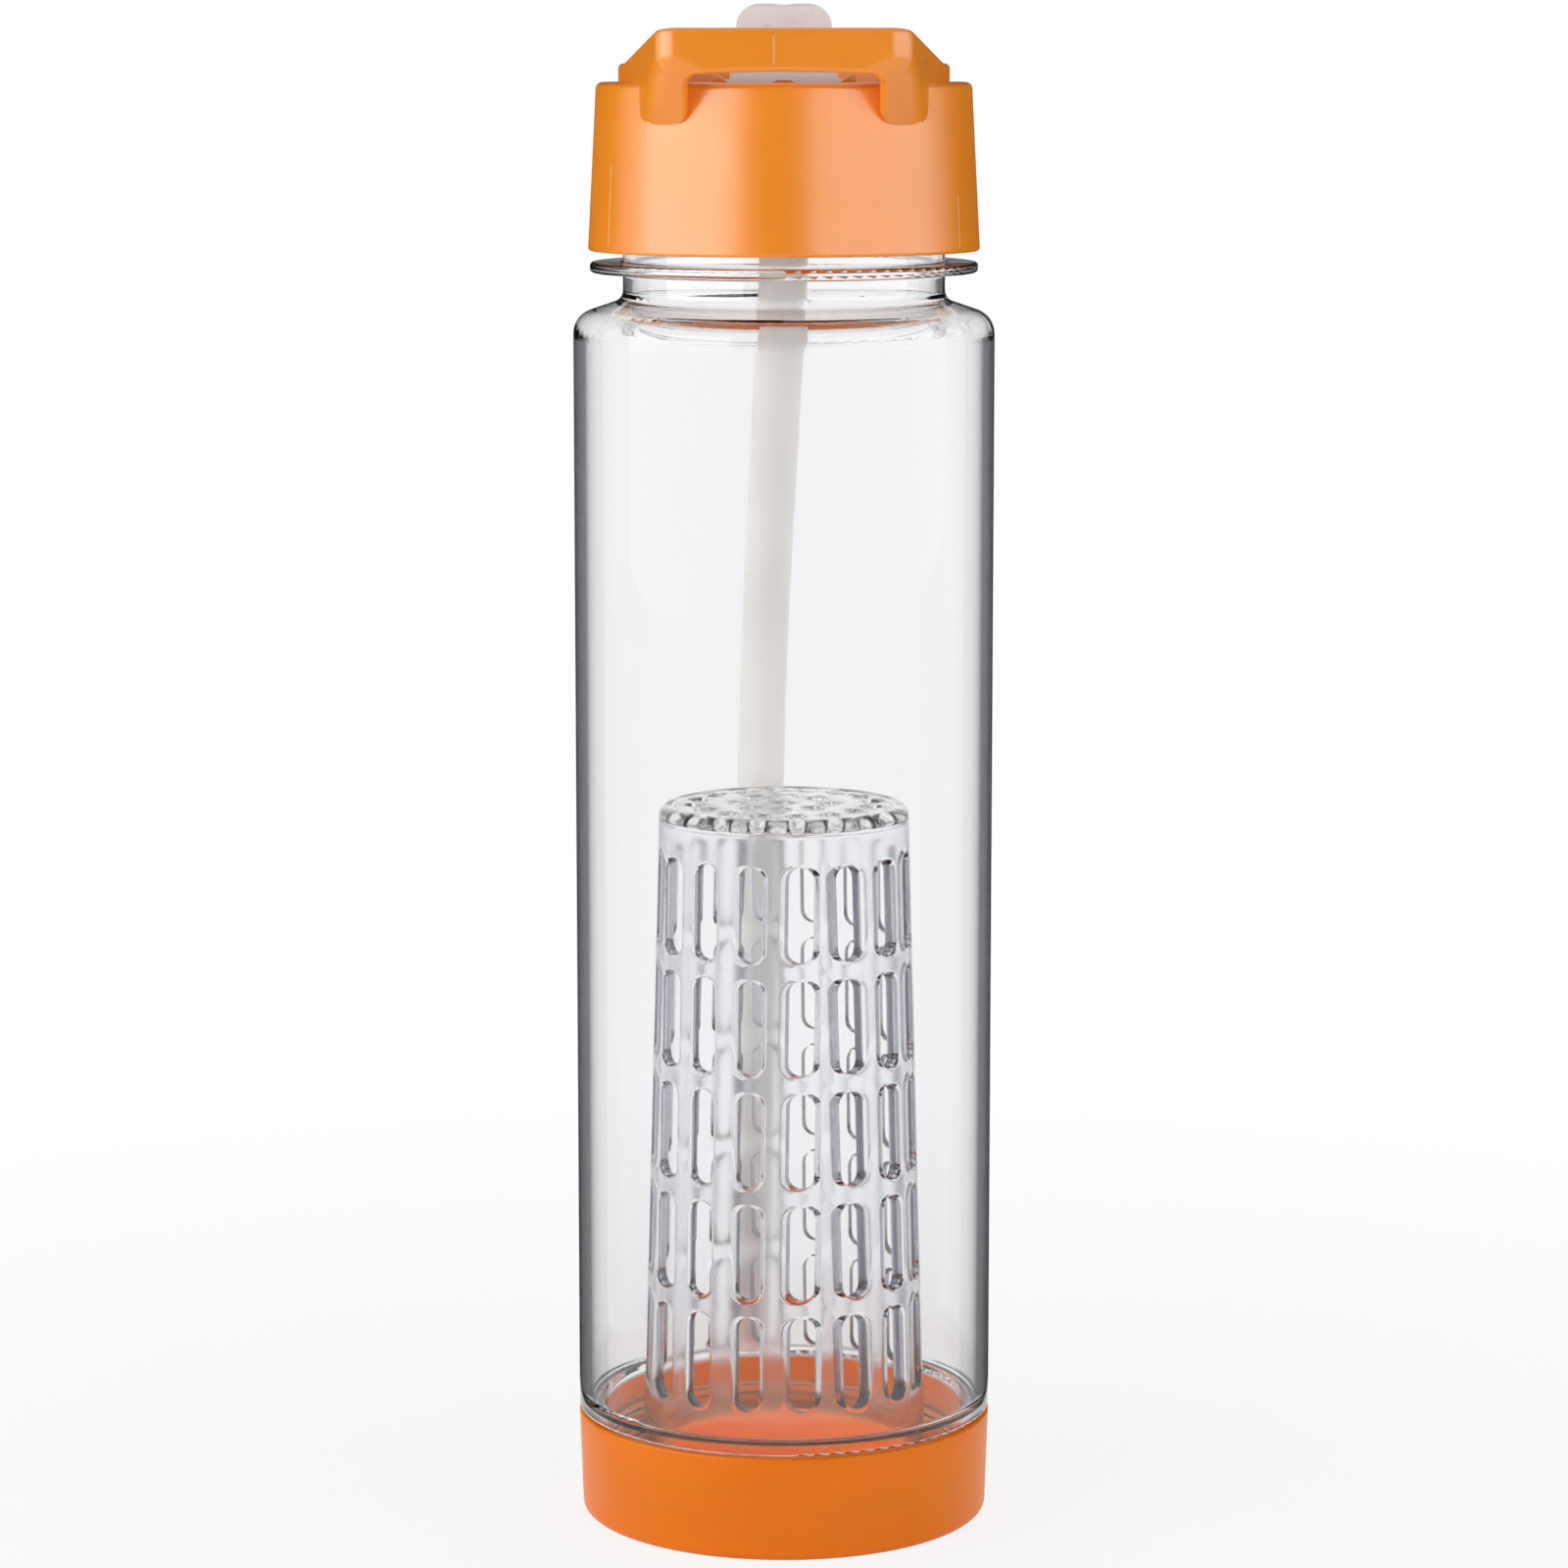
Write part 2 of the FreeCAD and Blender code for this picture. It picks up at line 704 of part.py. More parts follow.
def make_spout_seal():
    """Silicone saddle in the lid's pocket, shaped to the barrel, with the drinking port through it."""
    outer = along_x(pocket_radius - seal_seat_gap, seal_half_length, pivot_z)
    inner = along_x(barrel_radius + seal_gap, seal_half_length, pivot_z)
    below_deck = Part.makeBox(2 * seal_half_length, 2 * pocket_radius, pocket_radius,
                              Vector(-seal_half_length, -pocket_radius, deck_z - pocket_radius))
    port = upright(spout_bore_radius, straw_stop_z, pivot_z)
    return outer.cut(inner).common(below_deck).cut(port)


def make_vent_valve():
    """Silicone umbrella valve: a head under the plate, a stem through it and a bulb that holds it."""
    bulb_z = deck_z + vent_bulb_height
    valve = revolved([
        (0, ceiling_z - vent_head_thickness, 0),
        (vent_stem_radius, ceiling_z - vent_head_thickness, 0),
        (vent_head_radius, ceiling_z - vent_head_edge, 0),
        (vent_head_radius, ceiling_z, 0),
        (vent_stem_radius, ceiling_z, 0),
        (vent_stem_radius, deck_z, 0),
        (vent_bulb_radius, deck_z, 0),
        (vent_bulb_tip, bulb_z, 0),
        (0, bulb_z, 0),
    ])
    vent_x, vent_y = vent_place()
    valve.translate(Vector(vent_x, vent_y, 0))
    return valve


makers = {
    "bottle_body": make_bottle_body,
    "base_cup": make_base_cup,
    "base_gasket": make_base_gasket,
    "infuser_basket": make_infuser_basket,
    "lid_cap": make_lid_cap,
    "lid_gasket": make_lid_gasket,
    "flip_spout": make_flip_spout,
    "spout_seal": make_spout_seal,
    "straw": make_straw,
    "vent_valve": make_vent_valve,
}

os.makedirs("parts", exist_ok=True)
for name, maker in makers.items():
    piece = maker()
    print(name, "solids", len(piece.Solids), "valid", piece.isValid(), "volume", round(piece.Volume, 1))
    piece.exportStep("parts/" + name + ".step")
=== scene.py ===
import math

import bmesh
import bpy
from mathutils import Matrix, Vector


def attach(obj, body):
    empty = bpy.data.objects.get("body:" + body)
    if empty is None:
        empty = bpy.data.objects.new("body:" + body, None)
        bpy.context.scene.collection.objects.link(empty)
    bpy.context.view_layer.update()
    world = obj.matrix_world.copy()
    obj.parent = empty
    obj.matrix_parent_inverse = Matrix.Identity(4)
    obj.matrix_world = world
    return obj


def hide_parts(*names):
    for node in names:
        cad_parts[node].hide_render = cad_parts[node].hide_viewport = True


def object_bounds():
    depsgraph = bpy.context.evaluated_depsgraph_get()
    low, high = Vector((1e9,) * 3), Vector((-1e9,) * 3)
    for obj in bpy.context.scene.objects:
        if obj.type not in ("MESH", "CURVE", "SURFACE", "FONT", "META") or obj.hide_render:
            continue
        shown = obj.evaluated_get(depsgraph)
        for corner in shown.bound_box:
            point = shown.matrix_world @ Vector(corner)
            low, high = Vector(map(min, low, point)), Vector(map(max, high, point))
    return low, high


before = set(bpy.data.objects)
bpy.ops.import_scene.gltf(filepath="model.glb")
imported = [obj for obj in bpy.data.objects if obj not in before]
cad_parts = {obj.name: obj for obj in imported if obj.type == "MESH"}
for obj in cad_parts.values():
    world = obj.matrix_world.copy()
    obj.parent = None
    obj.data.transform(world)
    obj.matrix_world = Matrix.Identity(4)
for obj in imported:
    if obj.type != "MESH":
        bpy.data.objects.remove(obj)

cad_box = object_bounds()

# Sizes of the model are written in millimetres, those of studio and finishes in metres
mm = 0.001

# Camera, from the photo's ellipses: distance from the axis, its height and its target's, lens and sensor
camera_distance = 0.842
camera_height = 0.2534
camera_target = 0.1285
camera_lens = 112.8
camera_sensor = 36.0

# Light levels: white background, plain light all round, and the power of each soft box
background_level = 1.0
ambient_level = 0.10
left_box_light = 13.6
right_box_light = 11.0
back_box_light = 11.0
light_bounces = 24

# Soft boxes, by their azimuth from the front
left_box_azimuth = math.radians(-60.0)
right_box_azimuth = math.radians(56.0)
back_box_azimuth = math.radians(180.0)
left_box_width = 1.47
wide_box_width = 2.1
box_tall = 0.9
box_distance = 1.2
box_middle = 0.475

# Dark cards that only gloss sees, each a square of unit size that is stretched
flag_half = 0.5
flag_grey = 40
flag_roughness = 0.9
side_flag_azimuth = math.radians(132.0)
side_flag_distance = 0.09
side_flag_width = 0.115
side_flag_height = 0.32
front_flag_azimuth = math.radians(-4.0)
front_flag_distance = 1.3
front_flag_width = 0.85
front_flag_height = 1.6

# Floor, a little less white near the object, where its shadow lies
floor_half = 4.0
floor_grey = 0.9
floor_roughness = 0.9
floor_near = 0.05
floor_far = 0.35
floor_near_white = 0.85

# Noise of the finishes, as scale and detail, and the part of its range that is used
clear_rough_noise = (60.0, 2.0)
clear_wave_noise = (25.0, 1.0)
orange_colour_noise = (40.0, 3.0)
orange_rough_noise = (90.0, 3.0)
milky_colour_noise = (55.0, 3.0)
milky_rough_noise = (120.0, 2.0)
grain_noise = (700.0, 2.0)
noise_low = 0.3
noise_high = 0.7
colour_low = 0.35
colour_high = 0.65

# Clear plastic: low gloss on the long wall, more of it at the foot and from the shoulder up
clear_ior = 1.52
wall_gloss = 0.05
foot_gloss = 1.0
foot_gloss_low = 0.025
foot_gloss_high = 0.045
shoulder_gloss = 0.7
shoulder_gloss_low = 0.204
shoulder_gloss_high = 0.209
body_relief = 0.00006
basket_relief = 0.00004

# Dark edges of clear plastic, a painted shade that stands in for dark reflections where a wall is seen edge
# on: the levels where they begin and end, and their share on the sloping shoulder
edge_blend = 0.5
edge_square = 0.1
edge_foot_low = 0.019
edge_foot_high = 0.023
edge_ring_low = 0.2160
edge_ring_high = 0.2168
edge_shoulder_low = 0.203
edge_shoulder_high = 0.207
edge_shoulder_share = 0.72

# Orange plastic
orange_ior = 1.49
orange_glow = 0.35
orange_glow_radius = (1.0, 0.35, 0.06)
orange_glow_depth = 0.004
orange_rough_spread = 0.03
orange_relief = 0.00001

# Milky plastic and silicone
milky_ior = 1.5
milky_glow_radius = (1.0, 1.0, 1.0)
milky_glow_depth = 0.003
milky_rough_spread = 0.05
milky_relief = 0.00003

# Basket, as in the CAD: a tapered cup with its wall, its levels and its four mould pulls
basket_gauge_radius = 24.5
basket_gauge_level = 21.2
basket_draft = math.radians(1.6)
basket_wall = 2.0
basket_bottom = 3.0
basket_top = 125.3
basket_disc = 2.4
basket_crown_round = 2.0
basket_inner_round = 1.0
basket_foot_round = 0.4
foot_corner_share = 0.3
basket_pull_angle = math.radians(-26.3)
basket_pulls = 4
pull_half_angle = math.radians(45.0)

# Slots of the basket, each with a rounded rim outside and a small one inside
slot_columns = 4
slot_rows = 5
slot_half_width = 2.1
slot_height = 16.5
slot_pitch = 19.45
slot_first = 23.0
slot_rim = 0.7
slot_inner_rim = 0.15
slot_hold = 0.15
slot_end_steps = 8
slot_side_steps = 6
parting_ridge = 0.08
parting_tolerance = 0.001

# Holes in the basket's top disc: a middle one, and rings given by their count and borders in pitches
hole_radius = 1.7
hole_pitch = 7.75
hole_rim = 0.4
hole_rings = ((8, 0.5, 1.5), (16, 1.5, 2.4))
hole_inner_steps = 4
hole_outer_steps = 8
hole_side_steps = 4

# Meshes: the steps round a rim, and the distance within which points are welded
rim_steps = 4
weld_distance = 0.002

# Threads: right-handed, with the lead of the twist joints
thread_lead = 4.0
thread_turns = 1.6
thread_steps = 96
thread_root_half = 1.1
thread_crest_half = 0.5
thread_run_out = 0.12
thread_sink = 0.15

# Each thread's radius at its root and crest and its first level, and the start angle of each pair
neck_root = 27.5
neck_crest = 28.8
neck_start = 224.5
lid_root = 29.3
lid_crest = 28.1
lid_start = 226.5
lid_phase = math.radians(-40.0)
foot_root = 33.0
foot_crest = 33.9
foot_start = 8.0
base_root = 34.4
base_crest = 33.5
base_start = 6.0
base_phase = math.radians(60.0)

# Mould seams of the lid, on its drafted skirt and on the bar
seam_half_width = 0.16
seam_height = 0.10
seam_sink = 0.10
seam_shares = (0.0, 0.05, 0.5, 0.95, 1.0)
skirt_radius = 33.4
skirt_bottom = 220.53
skirt_draft = math.radians(3.0)
skirt_seam_azimuth = math.radians(62.0)
skirt_seam_low = 221.2
left_seam_high = 236.0
right_seam_high = 230.5
bar_front = -35.9
bar_seam_side = -1.6
bar_seam_levels = (251.5, 251.8, 254.0, 256.6, 256.9)
bar_seam_height = 0.03


def srgb(red, green, blue):
    """Linear colour of an eight-bit screen colour."""
    def linear(value):
        value = value / 255
        return value / 12.92 if value <= 0.04045 else ((value + 0.055) / 1.055) ** 2.4
    return linear(red), linear(green), linear(blue), 1.0


def new_material(name):
    """Material with one Principled shader and its output."""
    material = bpy.data.materials.new(name)
    material.use_nodes = True
    tree = material.node_tree
    shader = tree.nodes["Principled BSDF"]
    return material, tree, shader


def add_noise(tree, scale, detail):
    """Noise on the object's own coordinates."""
    place = tree.nodes.new("ShaderNodeTexCoord")
    noise = tree.nodes.new("ShaderNodeTexNoise")
    noise.inputs["Scale"].default_value = scale
    noise.inputs["Detail"].default_value = detail
    tree.links.new(place.outputs["Object"], noise.inputs["Vector"])
    return noise.outputs["Fac"]


def add_math(tree, operation, first, second):
    """Math node on two sockets or numbers."""
    node = tree.nodes.new("ShaderNodeMath")
    node.operation = operation
    for slot, value in enumerate((first, second)):
        if isinstance(value, (int, float)):
            node.inputs[slot].default_value = value
        else:
            tree.links.new(value, node.inputs[slot])
    return node.outputs["Value"]


def ramp_up(tree, source, start, end, low, high):
    """Value that goes from low to high between two levels of its source."""
    ramp = tree.nodes.new("ShaderNodeMapRange")
    ramp.inputs["From Min"].default_value = start
    ramp.inputs["From Max"].default_value = end
    ramp.inputs["To Min"].default_value = low
    ramp.inputs["To Max"].default_value = high
    tree.links.new(source, ramp.inputs["Value"])
    return ramp.outputs["Result"]


def add_roughness(tree, shader, noise, low, high):
    """Roughness that a noise spreads between two numbers."""
    uneven = ramp_up(tree, add_noise(tree, *noise), noise_low, noise_high, low, high)
    tree.links.new(uneven, shader.inputs["Roughness"])


def add_ramp(tree, source, stops):
    """Colour ramp through the given stops."""
    ramp = tree.nodes.new("ShaderNodeValToRGB")
    while len(ramp.color_ramp.elements) < len(stops):
        ramp.color_ramp.elements.new(0.5)
    for element, (position, colour) in zip(ramp.color_ramp.elements, stops):
        element.position = position
        element.color = colour
    tree.links.new(source, ramp.inputs["Fac"])
    return ramp.outputs["Color"]


def add_colour(tree, shader, noise, low, high):
    """Base colour that a noise varies between two colours."""
    stops = ((colour_low, low), (colour_high, high))
    tree.links.new(add_ramp(tree, add_noise(tree, *noise), stops), shader.inputs["Base Color"])


def add_bump(tree, shader, noise, distance):
    """Fine relief from a noise."""
    bump = tree.nodes.new("ShaderNodeBump")
    bump.inputs["Strength"].default_value = 1.0
    bump.inputs["Distance"].default_value = distance
    tree.links.new(add_noise(tree, *noise), bump.inputs["Height"])
    tree.links.new(bump.outputs["Normal"], shader.inputs["Normal"])


def level_of(tree):
    """Height of a point on the object, in metres."""
    place = tree.nodes.new("ShaderNodeTexCoord")
    parts = tree.nodes.new("ShaderNodeSeparateXYZ")
    tree.links.new(place.outputs["Object"], parts.inputs["Vector"])
    return parts.outputs["Z"]


def edge_shade_mask(tree):
    """How far a wall that faces outward is turned edge on, which masks the painted edge shade: 0 on other
    faces, and at least edge_square.
    """
    place = tree.nodes.new("ShaderNodeTexCoord")
    flat = tree.nodes.new("ShaderNodeVectorMath")
    flat.operation = "MULTIPLY"
    flat.inputs[1].default_value = (1.0, 1.0, 0.0)
    tree.links.new(place.outputs["Object"], flat.inputs[0])
    along = tree.nodes.new("ShaderNodeVectorMath")
    along.operation = "DOT_PRODUCT"
    tree.links.new(flat.outputs["Vector"], along.inputs[0])
    tree.links.new(place.outputs["Normal"], along.inputs[1])
    outward = add_math(tree, "GREATER_THAN", along.outputs["Value"], 0.0)
    parts = tree.nodes.new("ShaderNodeSeparateXYZ")
    tree.links.new(place.outputs["Normal"], parts.inputs["Vector"])
    upright = add_math(tree, "SUBTRACT", 1.0, add_math(tree, "ABSOLUTE", parts.outputs["Z"], 0.0))
    sloped = ramp_up(tree, level_of(tree), edge_shoulder_low, edge_shoulder_high, 0.0, edge_shoulder_share)
    weight = tree.nodes.new("ShaderNodeLayerWeight")
    weight.inputs["Blend"].default_value = edge_blend
    turned = add_math(tree, "MULTIPLY", weight.outputs["Facing"], add_math(tree, "MAXIMUM", upright, sloped))
    above = ramp_up(tree, level_of(tree), edge_foot_low, edge_foot_high, 0.0, 1.0)
    below = ramp_up(tree, level_of(tree), edge_ring_low, edge_ring_high, 1.0, 0.0)
    turned = add_math(tree, "MULTIPLY", turned, add_math(tree, "MULTIPLY", above, below))
    lifted = add_math(tree, "ADD", add_math(tree, "MULTIPLY", turned, 1.0 - edge_square), edge_square)
    return add_math(tree, "MULTIPLY", lifted, outward)


def clear_plastic(name, stops, rough_low, rough_high, relief):
    """Polished clear plastic whose colour darkens where its outer wall is seen edge on, a painted shade in
    place of dark reflections.
    """
    material, tree, shader = new_material(name)
    shader.inputs["Transmission Weight"].default_value = 1.0
    shader.inputs["IOR"].default_value = clear_ior
    level = level_of(tree)
    foot = ramp_up(tree, level, foot_gloss_low, foot_gloss_high, foot_gloss, wall_gloss)
    shoulder = ramp_up(tree, level, shoulder_gloss_low, shoulder_gloss_high, wall_gloss, shoulder_gloss)
    tree.links.new(add_math(tree, "MAXIMUM", foot, shoulder), shader.inputs["Specular Tint"])
    # Painted shade: the base colour darkens where the outer wall is seen edge on
    tree.links.new(add_ramp(tree, edge_shade_mask(tree), stops), shader.inputs["Base Color"])
    add_roughness(tree, shader, clear_rough_noise, rough_low, rough_high)
    add_bump(tree, shader, clear_wave_noise, relief)
    return material


def orange_plastic(name, low, high, gloss, roughness):
    """Smooth moulded polypropylene, a little uneven in colour and gloss, that lets some light through."""
    material, tree, shader = new_material(name)
    add_colour(tree, shader, orange_colour_noise, low, high)
    shader.inputs["IOR"].default_value = orange_ior
    shader.inputs["Specular IOR Level"].default_value = gloss
    shader.inputs["Subsurface Weight"].default_value = orange_glow
    shader.inputs["Subsurface Radius"].default_value = orange_glow_radius
    shader.inputs["Subsurface Scale"].default_value = orange_glow_depth
    spread = orange_rough_spread
    add_roughness(tree, shader, orange_rough_noise, roughness - spread, roughness + spread)
    add_bump(tree, shader, grain_noise, orange_relief)
    return material


def milky_plastic(name, low, high, transmission, roughness, glow):
    """Translucent whitish plastic or silicone."""
    material, tree, shader = new_material(name)
    add_colour(tree, shader, milky_colour_noise, low, high)
    shader.inputs["Transmission Weight"].default_value = transmission
    shader.inputs["IOR"].default_value = milky_ior
    shader.inputs["Subsurface Weight"].default_value = glow
    shader.inputs["Subsurface Radius"].default_value = milky_glow_radius
    shader.inputs["Subsurface Scale"].default_value = milky_glow_depth
    spread = milky_rough_spread
    add_roughness(tree, shader, milky_rough_noise, roughness - spread, roughness + spread)
    add_bump(tree, shader, grain_noise, milky_relief)
    return material


# Colour of clear plastic by how far its wall is turned edge on, darkening into a painted shade at the edges
body_edge_shade_stops = (
    (0.0, srgb(255, 255, 255)),
    (0.10, srgb(242, 243, 244)),
    (0.45, srgb(240, 241, 242)),
    (0.60, srgb(222, 223, 225)),
    (0.66, srgb(180, 181, 184)),
    (0.71, srgb(70, 69, 74)),
    (1.0, srgb(40, 39, 43)),
)
basket_edge_shade_stops = (
    (0.0, srgb(253, 253, 254)),
    (0.10, srgb(253, 253, 254)),
    (0.50, srgb(249, 248, 252)),
    (0.75, srgb(214, 211, 221)),
    (1.0, srgb(140, 136, 150)),
)

clear_body = clear_plastic("clear_body", body_edge_shade_stops, rough_low=0.0, rough_high=0.02, relief=body_relief)
clear_basket = clear_plastic(
    "clear_basket", basket_edge_shade_stops, rough_low=0.10, rough_high=0.16, relief=basket_relief)
clear_spout = milky_plastic(
    "clear_spout", srgb(252, 248, 247), srgb(254, 252, 251), transmission=0.12, roughness=0.3, glow=0.1)
# Walls through the basket's slots: slightly rough, and grey as a painted shade for their dark look edge on
slot_wall_shade = milky_plastic(
    "slot_wall_shade", srgb(136, 133, 146), srgb(150, 147, 160), transmission=0.85, roughness=0.12, glow=0.0)
orange = orange_plastic(
    "orange_plastic", srgb(241, 140, 12), srgb(243, 145, 18), gloss=1.0, roughness=0.30)
orange_satin = orange_plastic(
    "orange_satin", srgb(235, 120, 16), srgb(238, 126, 20), gloss=0.2, roughness=0.38)
straw_plastic = milky_plastic(
    "straw_plastic", srgb(218, 215, 211), srgb(222, 219, 215), transmission=0.2, roughness=0.35, glow=0.8)
silicone = milky_plastic(
    "silicone", srgb(226, 226, 226), srgb(234, 234, 234), transmission=0.5, roughness=0.45, glow=0.3)

node_materials = {
    "bottle_body": clear_body,
    "base_cup": orange_satin,
    "base_gasket": silicone,
    "infuser_basket": clear_basket,
    "lid_cap": orange,
    "lid_gasket": silicone,
    "flip_spout": clear_spout,
    "spout_seal": silicone,
    "straw": straw_plastic,
    "vent_valve": silicone,
}


def dress_nodes():
    """Give each CAD node its own finish."""
    for name, material in node_materials.items():
        node = bpy.data.objects[name]
        if not node.material_slots:
            node.data.materials.append(material)
        for slot in node.material_slots:
            slot.material = material


class Sheet:
    """Points and faces of a mesh that is built loop by loop."""

    def __init__(self):
        self.points = []
        self.faces = []
        self.finishes = []

    def add_loop(self, points):
        """Take the points of one loop and return their numbers."""
        start = len(self.points)
        self.points.extend(points)
        return list(range(start, len(self.points)))

    def bridge(self, first, second, finish=0):
        """Faces between two closed loops of equal length."""
        for index in range(len(first)):
            after = (index + 1) % len(first)
            self.faces.append((first[index], first[after], second[after], second[index]))
            self.finishes.append(finish)

    def bridge_all(self, loops):
        """Faces between each loop and the next."""
        for first, second in zip(loops, loops[1:]):
            self.bridge(first, second)

    def cap(self, loop):
        """One face across a loop."""
        self.faces.append(tuple(loop))
        self.finishes.append(0)

    def to_piece(self, name, body, materials):
        """Welded smooth mesh object that rides on a body."""
        mesh = bpy.data.meshes.new(name)
        mesh.from_pydata([[value * mm for value in point] for point in self.points], [], self.faces)
        for material in materials:
            mesh.materials.append(material)
        for face, finish in zip(mesh.polygons, self.finishes):
            face.material_index = finish
            face.use_smooth = True
        weld = bmesh.new()
        weld.from_mesh(mesh)
        bmesh.ops.remove_doubles(weld, verts=weld.verts, dist=weld_distance * mm)
        bmesh.ops.recalc_face_normals(weld, faces=weld.faces)
        weld.to_mesh(mesh)
        weld.free()
        piece = bpy.data.objects.new(name, mesh)
        bpy.context.collection.objects.link(piece)
        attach(piece, body)
        return piece


def basket_radius(z):
    """Outer radius of the tapered basket at a level."""
    return basket_gauge_radius - (z - basket_gauge_level) * math.tan(basket_draft)


def inner_radius(z):
    """Inner radius of the basket at a level."""
    return basket_radius(z) - basket_wall


def in_pull(angle, side, ahead, z):
    """Point given by its sideways and forward distance in a mould pull's direction."""
    x = side * math.cos(angle) + ahead * math.sin(angle)
    y = side * math.sin(angle) - ahead * math.cos(angle)
    return x, y, z


def slot_outline(grow):
    """Round-ended outline about a slot's middle, grown by a distance, with places on the cell's border."""
    reach = slot_half_width + grow
    straight = slot_height / 2 - slot_half_width
    spots = []
    for step in range(slot_end_steps + 1):
        share = step / slot_end_steps
        turn = math.pi + math.pi * step / slot_end_steps
        spots.append((reach * math.cos(turn), reach * math.sin(turn) - straight, share, 0.0))
    for step in range(1, slot_side_steps):
        share = step / slot_side_steps
        spots.append((reach, straight * (2 * share - 1), 1.0, share))
    for step in range(slot_end_steps + 1):
        share = step / slot_end_steps
        turn = math.pi * step / slot_end_steps
        spots.append((reach * math.cos(turn), reach * math.sin(turn) + straight, 1 - share, 1.0))
    for step in range(1, slot_side_steps):
        share = step / slot_side_steps
        spots.append((-reach, straight * (1 - 2 * share), 0.0, 1 - share))
    return spots


def rim_profile(radius, steps):
    """Grow and depth of each loop round a rounded rim, from the wall to the surface."""
    turns = [math.pi / 2 * step / steps for step in range(steps + 1)]
    return [(radius * (1 - math.cos(turn)), radius * (1 - math.sin(turn))) for turn in turns]


def slot_loops(sheet, angle, column, row, radius_at, rim, inward):
    """Loops of one slot on one side of the wall, from the cut to the cell's border."""
    column_angle = 2 * pull_half_angle / slot_columns
    left = -pull_half_angle + column * column_angle
    low = slot_first + row * slot_pitch - (slot_pitch - slot_height) / 2
    middle_z = slot_first + row * slot_pitch + slot_height / 2
    middle = (basket_radius(middle_z) - basket_wall / 2) * math.sin(left + column_angle / 2)
    loops = []
    for grow, depth in rim_profile(rim, rim_steps) + [(rim + slot_hold * rim / slot_rim, 0.0)]:
        points = []
        for side, rise, _, _ in slot_outline(grow):
            z = middle_z + rise
            ahead = math.sqrt(radius_at(z) ** 2 - (middle + side) ** 2) + inward * depth
            points.append(in_pull(angle, middle + side, ahead, z))
        loops.append(sheet.add_loop(points))
    between = []
    border = []
    for side, rise, across, up in slot_outline(rim):
        turn = left + across * column_angle
        z = low + up * slot_pitch
        on_seam = abs(abs(turn) - pull_half_angle) < parting_tolerance and inward < 0
        radius = radius_at(z) + (parting_ridge if on_seam else 0.0)
        border.append(in_pull(angle, radius * math.sin(turn), radius * math.cos(turn), z))
        start_z = middle_z + rise
        start_turn = math.asin((middle + side) / radius_at(start_z))
        half_turn = (turn + start_turn) / 2
        half_z = (z + start_z) / 2
        radius = radius_at(half_z)
        between.append(in_pull(angle, radius * math.sin(half_turn), radius * math.cos(half_turn), half_z))
    loops.append(sheet.add_loop(between))
    loops.append(sheet.add_loop(border))
    return loops


def add_slots(sheet):
    """All slots of the basket with the wall around them, outside and inside."""
    for pull in range(basket_pulls):
        angle = basket_pull_angle + pull * 2 * math.pi / basket_pulls
        for column in range(slot_columns):
            for row in range(slot_rows):
                outer = slot_loops(sheet, angle, column, row, basket_radius, slot_rim, inward=-1)
                inner = slot_loops(sheet, angle, column, row, inner_radius, slot_inner_rim, inward=1)
                sheet.bridge_all(outer)
                sheet.bridge_all(inner)
                # Walls through each slot take the second finish, whose grey is a painted shade
                sheet.bridge(outer[0], inner[0], finish=1)


def add_turned(sheet, profile):
    """Surface of revolution through a profile, with the basket's own divisions."""
    count = basket_pulls * slot_columns * slot_end_steps
    loops = []
    for radius, z in profile:
        turns = [basket_pull_angle + 2 * math.pi * index / count for index in range(count)]
        loops.append(sheet.add_loop([in_pull(turn, 0.0, radius, z) for turn in turns]))
    sheet.bridge_all(loops)


def basket_edges(sheet):
    """Plain bands of the basket below and above the slots, with its rounded foot and crown."""
    low = slot_first - (slot_pitch - slot_height) / 2
    high = low + slot_rows * slot_pitch
    soft = basket_foot_round
    corner = foot_corner_share * soft
    foot = basket_bottom + soft
    middle = (low + foot) / 2
    add_turned(sheet, [
        (basket_radius(low), low),
        (basket_radius(middle), middle),
        (basket_radius(foot), foot),
        (basket_radius(basket_bottom) - corner, basket_bottom + corner),
        (basket_radius(basket_bottom) - soft, basket_bottom),
        (inner_radius(basket_bottom) + soft, basket_bottom),
        (inner_radius(basket_bottom) + corner, basket_bottom + corner),
        (inner_radius(foot), foot),
        (inner_radius(middle), middle),
        (inner_radius(low), low),
    ])
    disc_radius = hole_rings[-1][2] * hole_pitch
    ceiling = basket_top - basket_disc
    for radius_at, top, soft in ((basket_radius, basket_top, basket_crown_round),
                                 (inner_radius, ceiling, basket_inner_round)):
        bend = top - soft
        middle = (high + bend) / 2
        profile = [(radius_at(high), high), (radius_at(middle), middle)]
        for step in range(2 * rim_steps + 1):
            turn = math.pi / 2 * step / (2 * rim_steps)
            profile.append((radius_at(bend) - soft * (1 - math.cos(turn)), bend + soft * math.sin(turn)))
        add_turned(sheet, profile + [(disc_radius, top)])


def hole_spots():
    """Turn about a hole of each of its points, with its place on the cell's border."""
    spots = []
    # Each side's steps, its start in eighths of a turn, and the place for a share of the side
    sides = (
        (hole_inner_steps, -3, lambda share: (share, 0.0)),
        (hole_side_steps, -1, lambda share: (1.0, share)),
        (hole_outer_steps, 1, lambda share: (1 - share, 1.0)),
        (hole_side_steps, 3, lambda share: (0.0, 1 - share)),
    )
    for steps, start, place in sides:
        for step in range(steps):
            share = step / steps
            spots.append((math.pi / 4 * (start + 2 * share), *place(share)))
    return spots


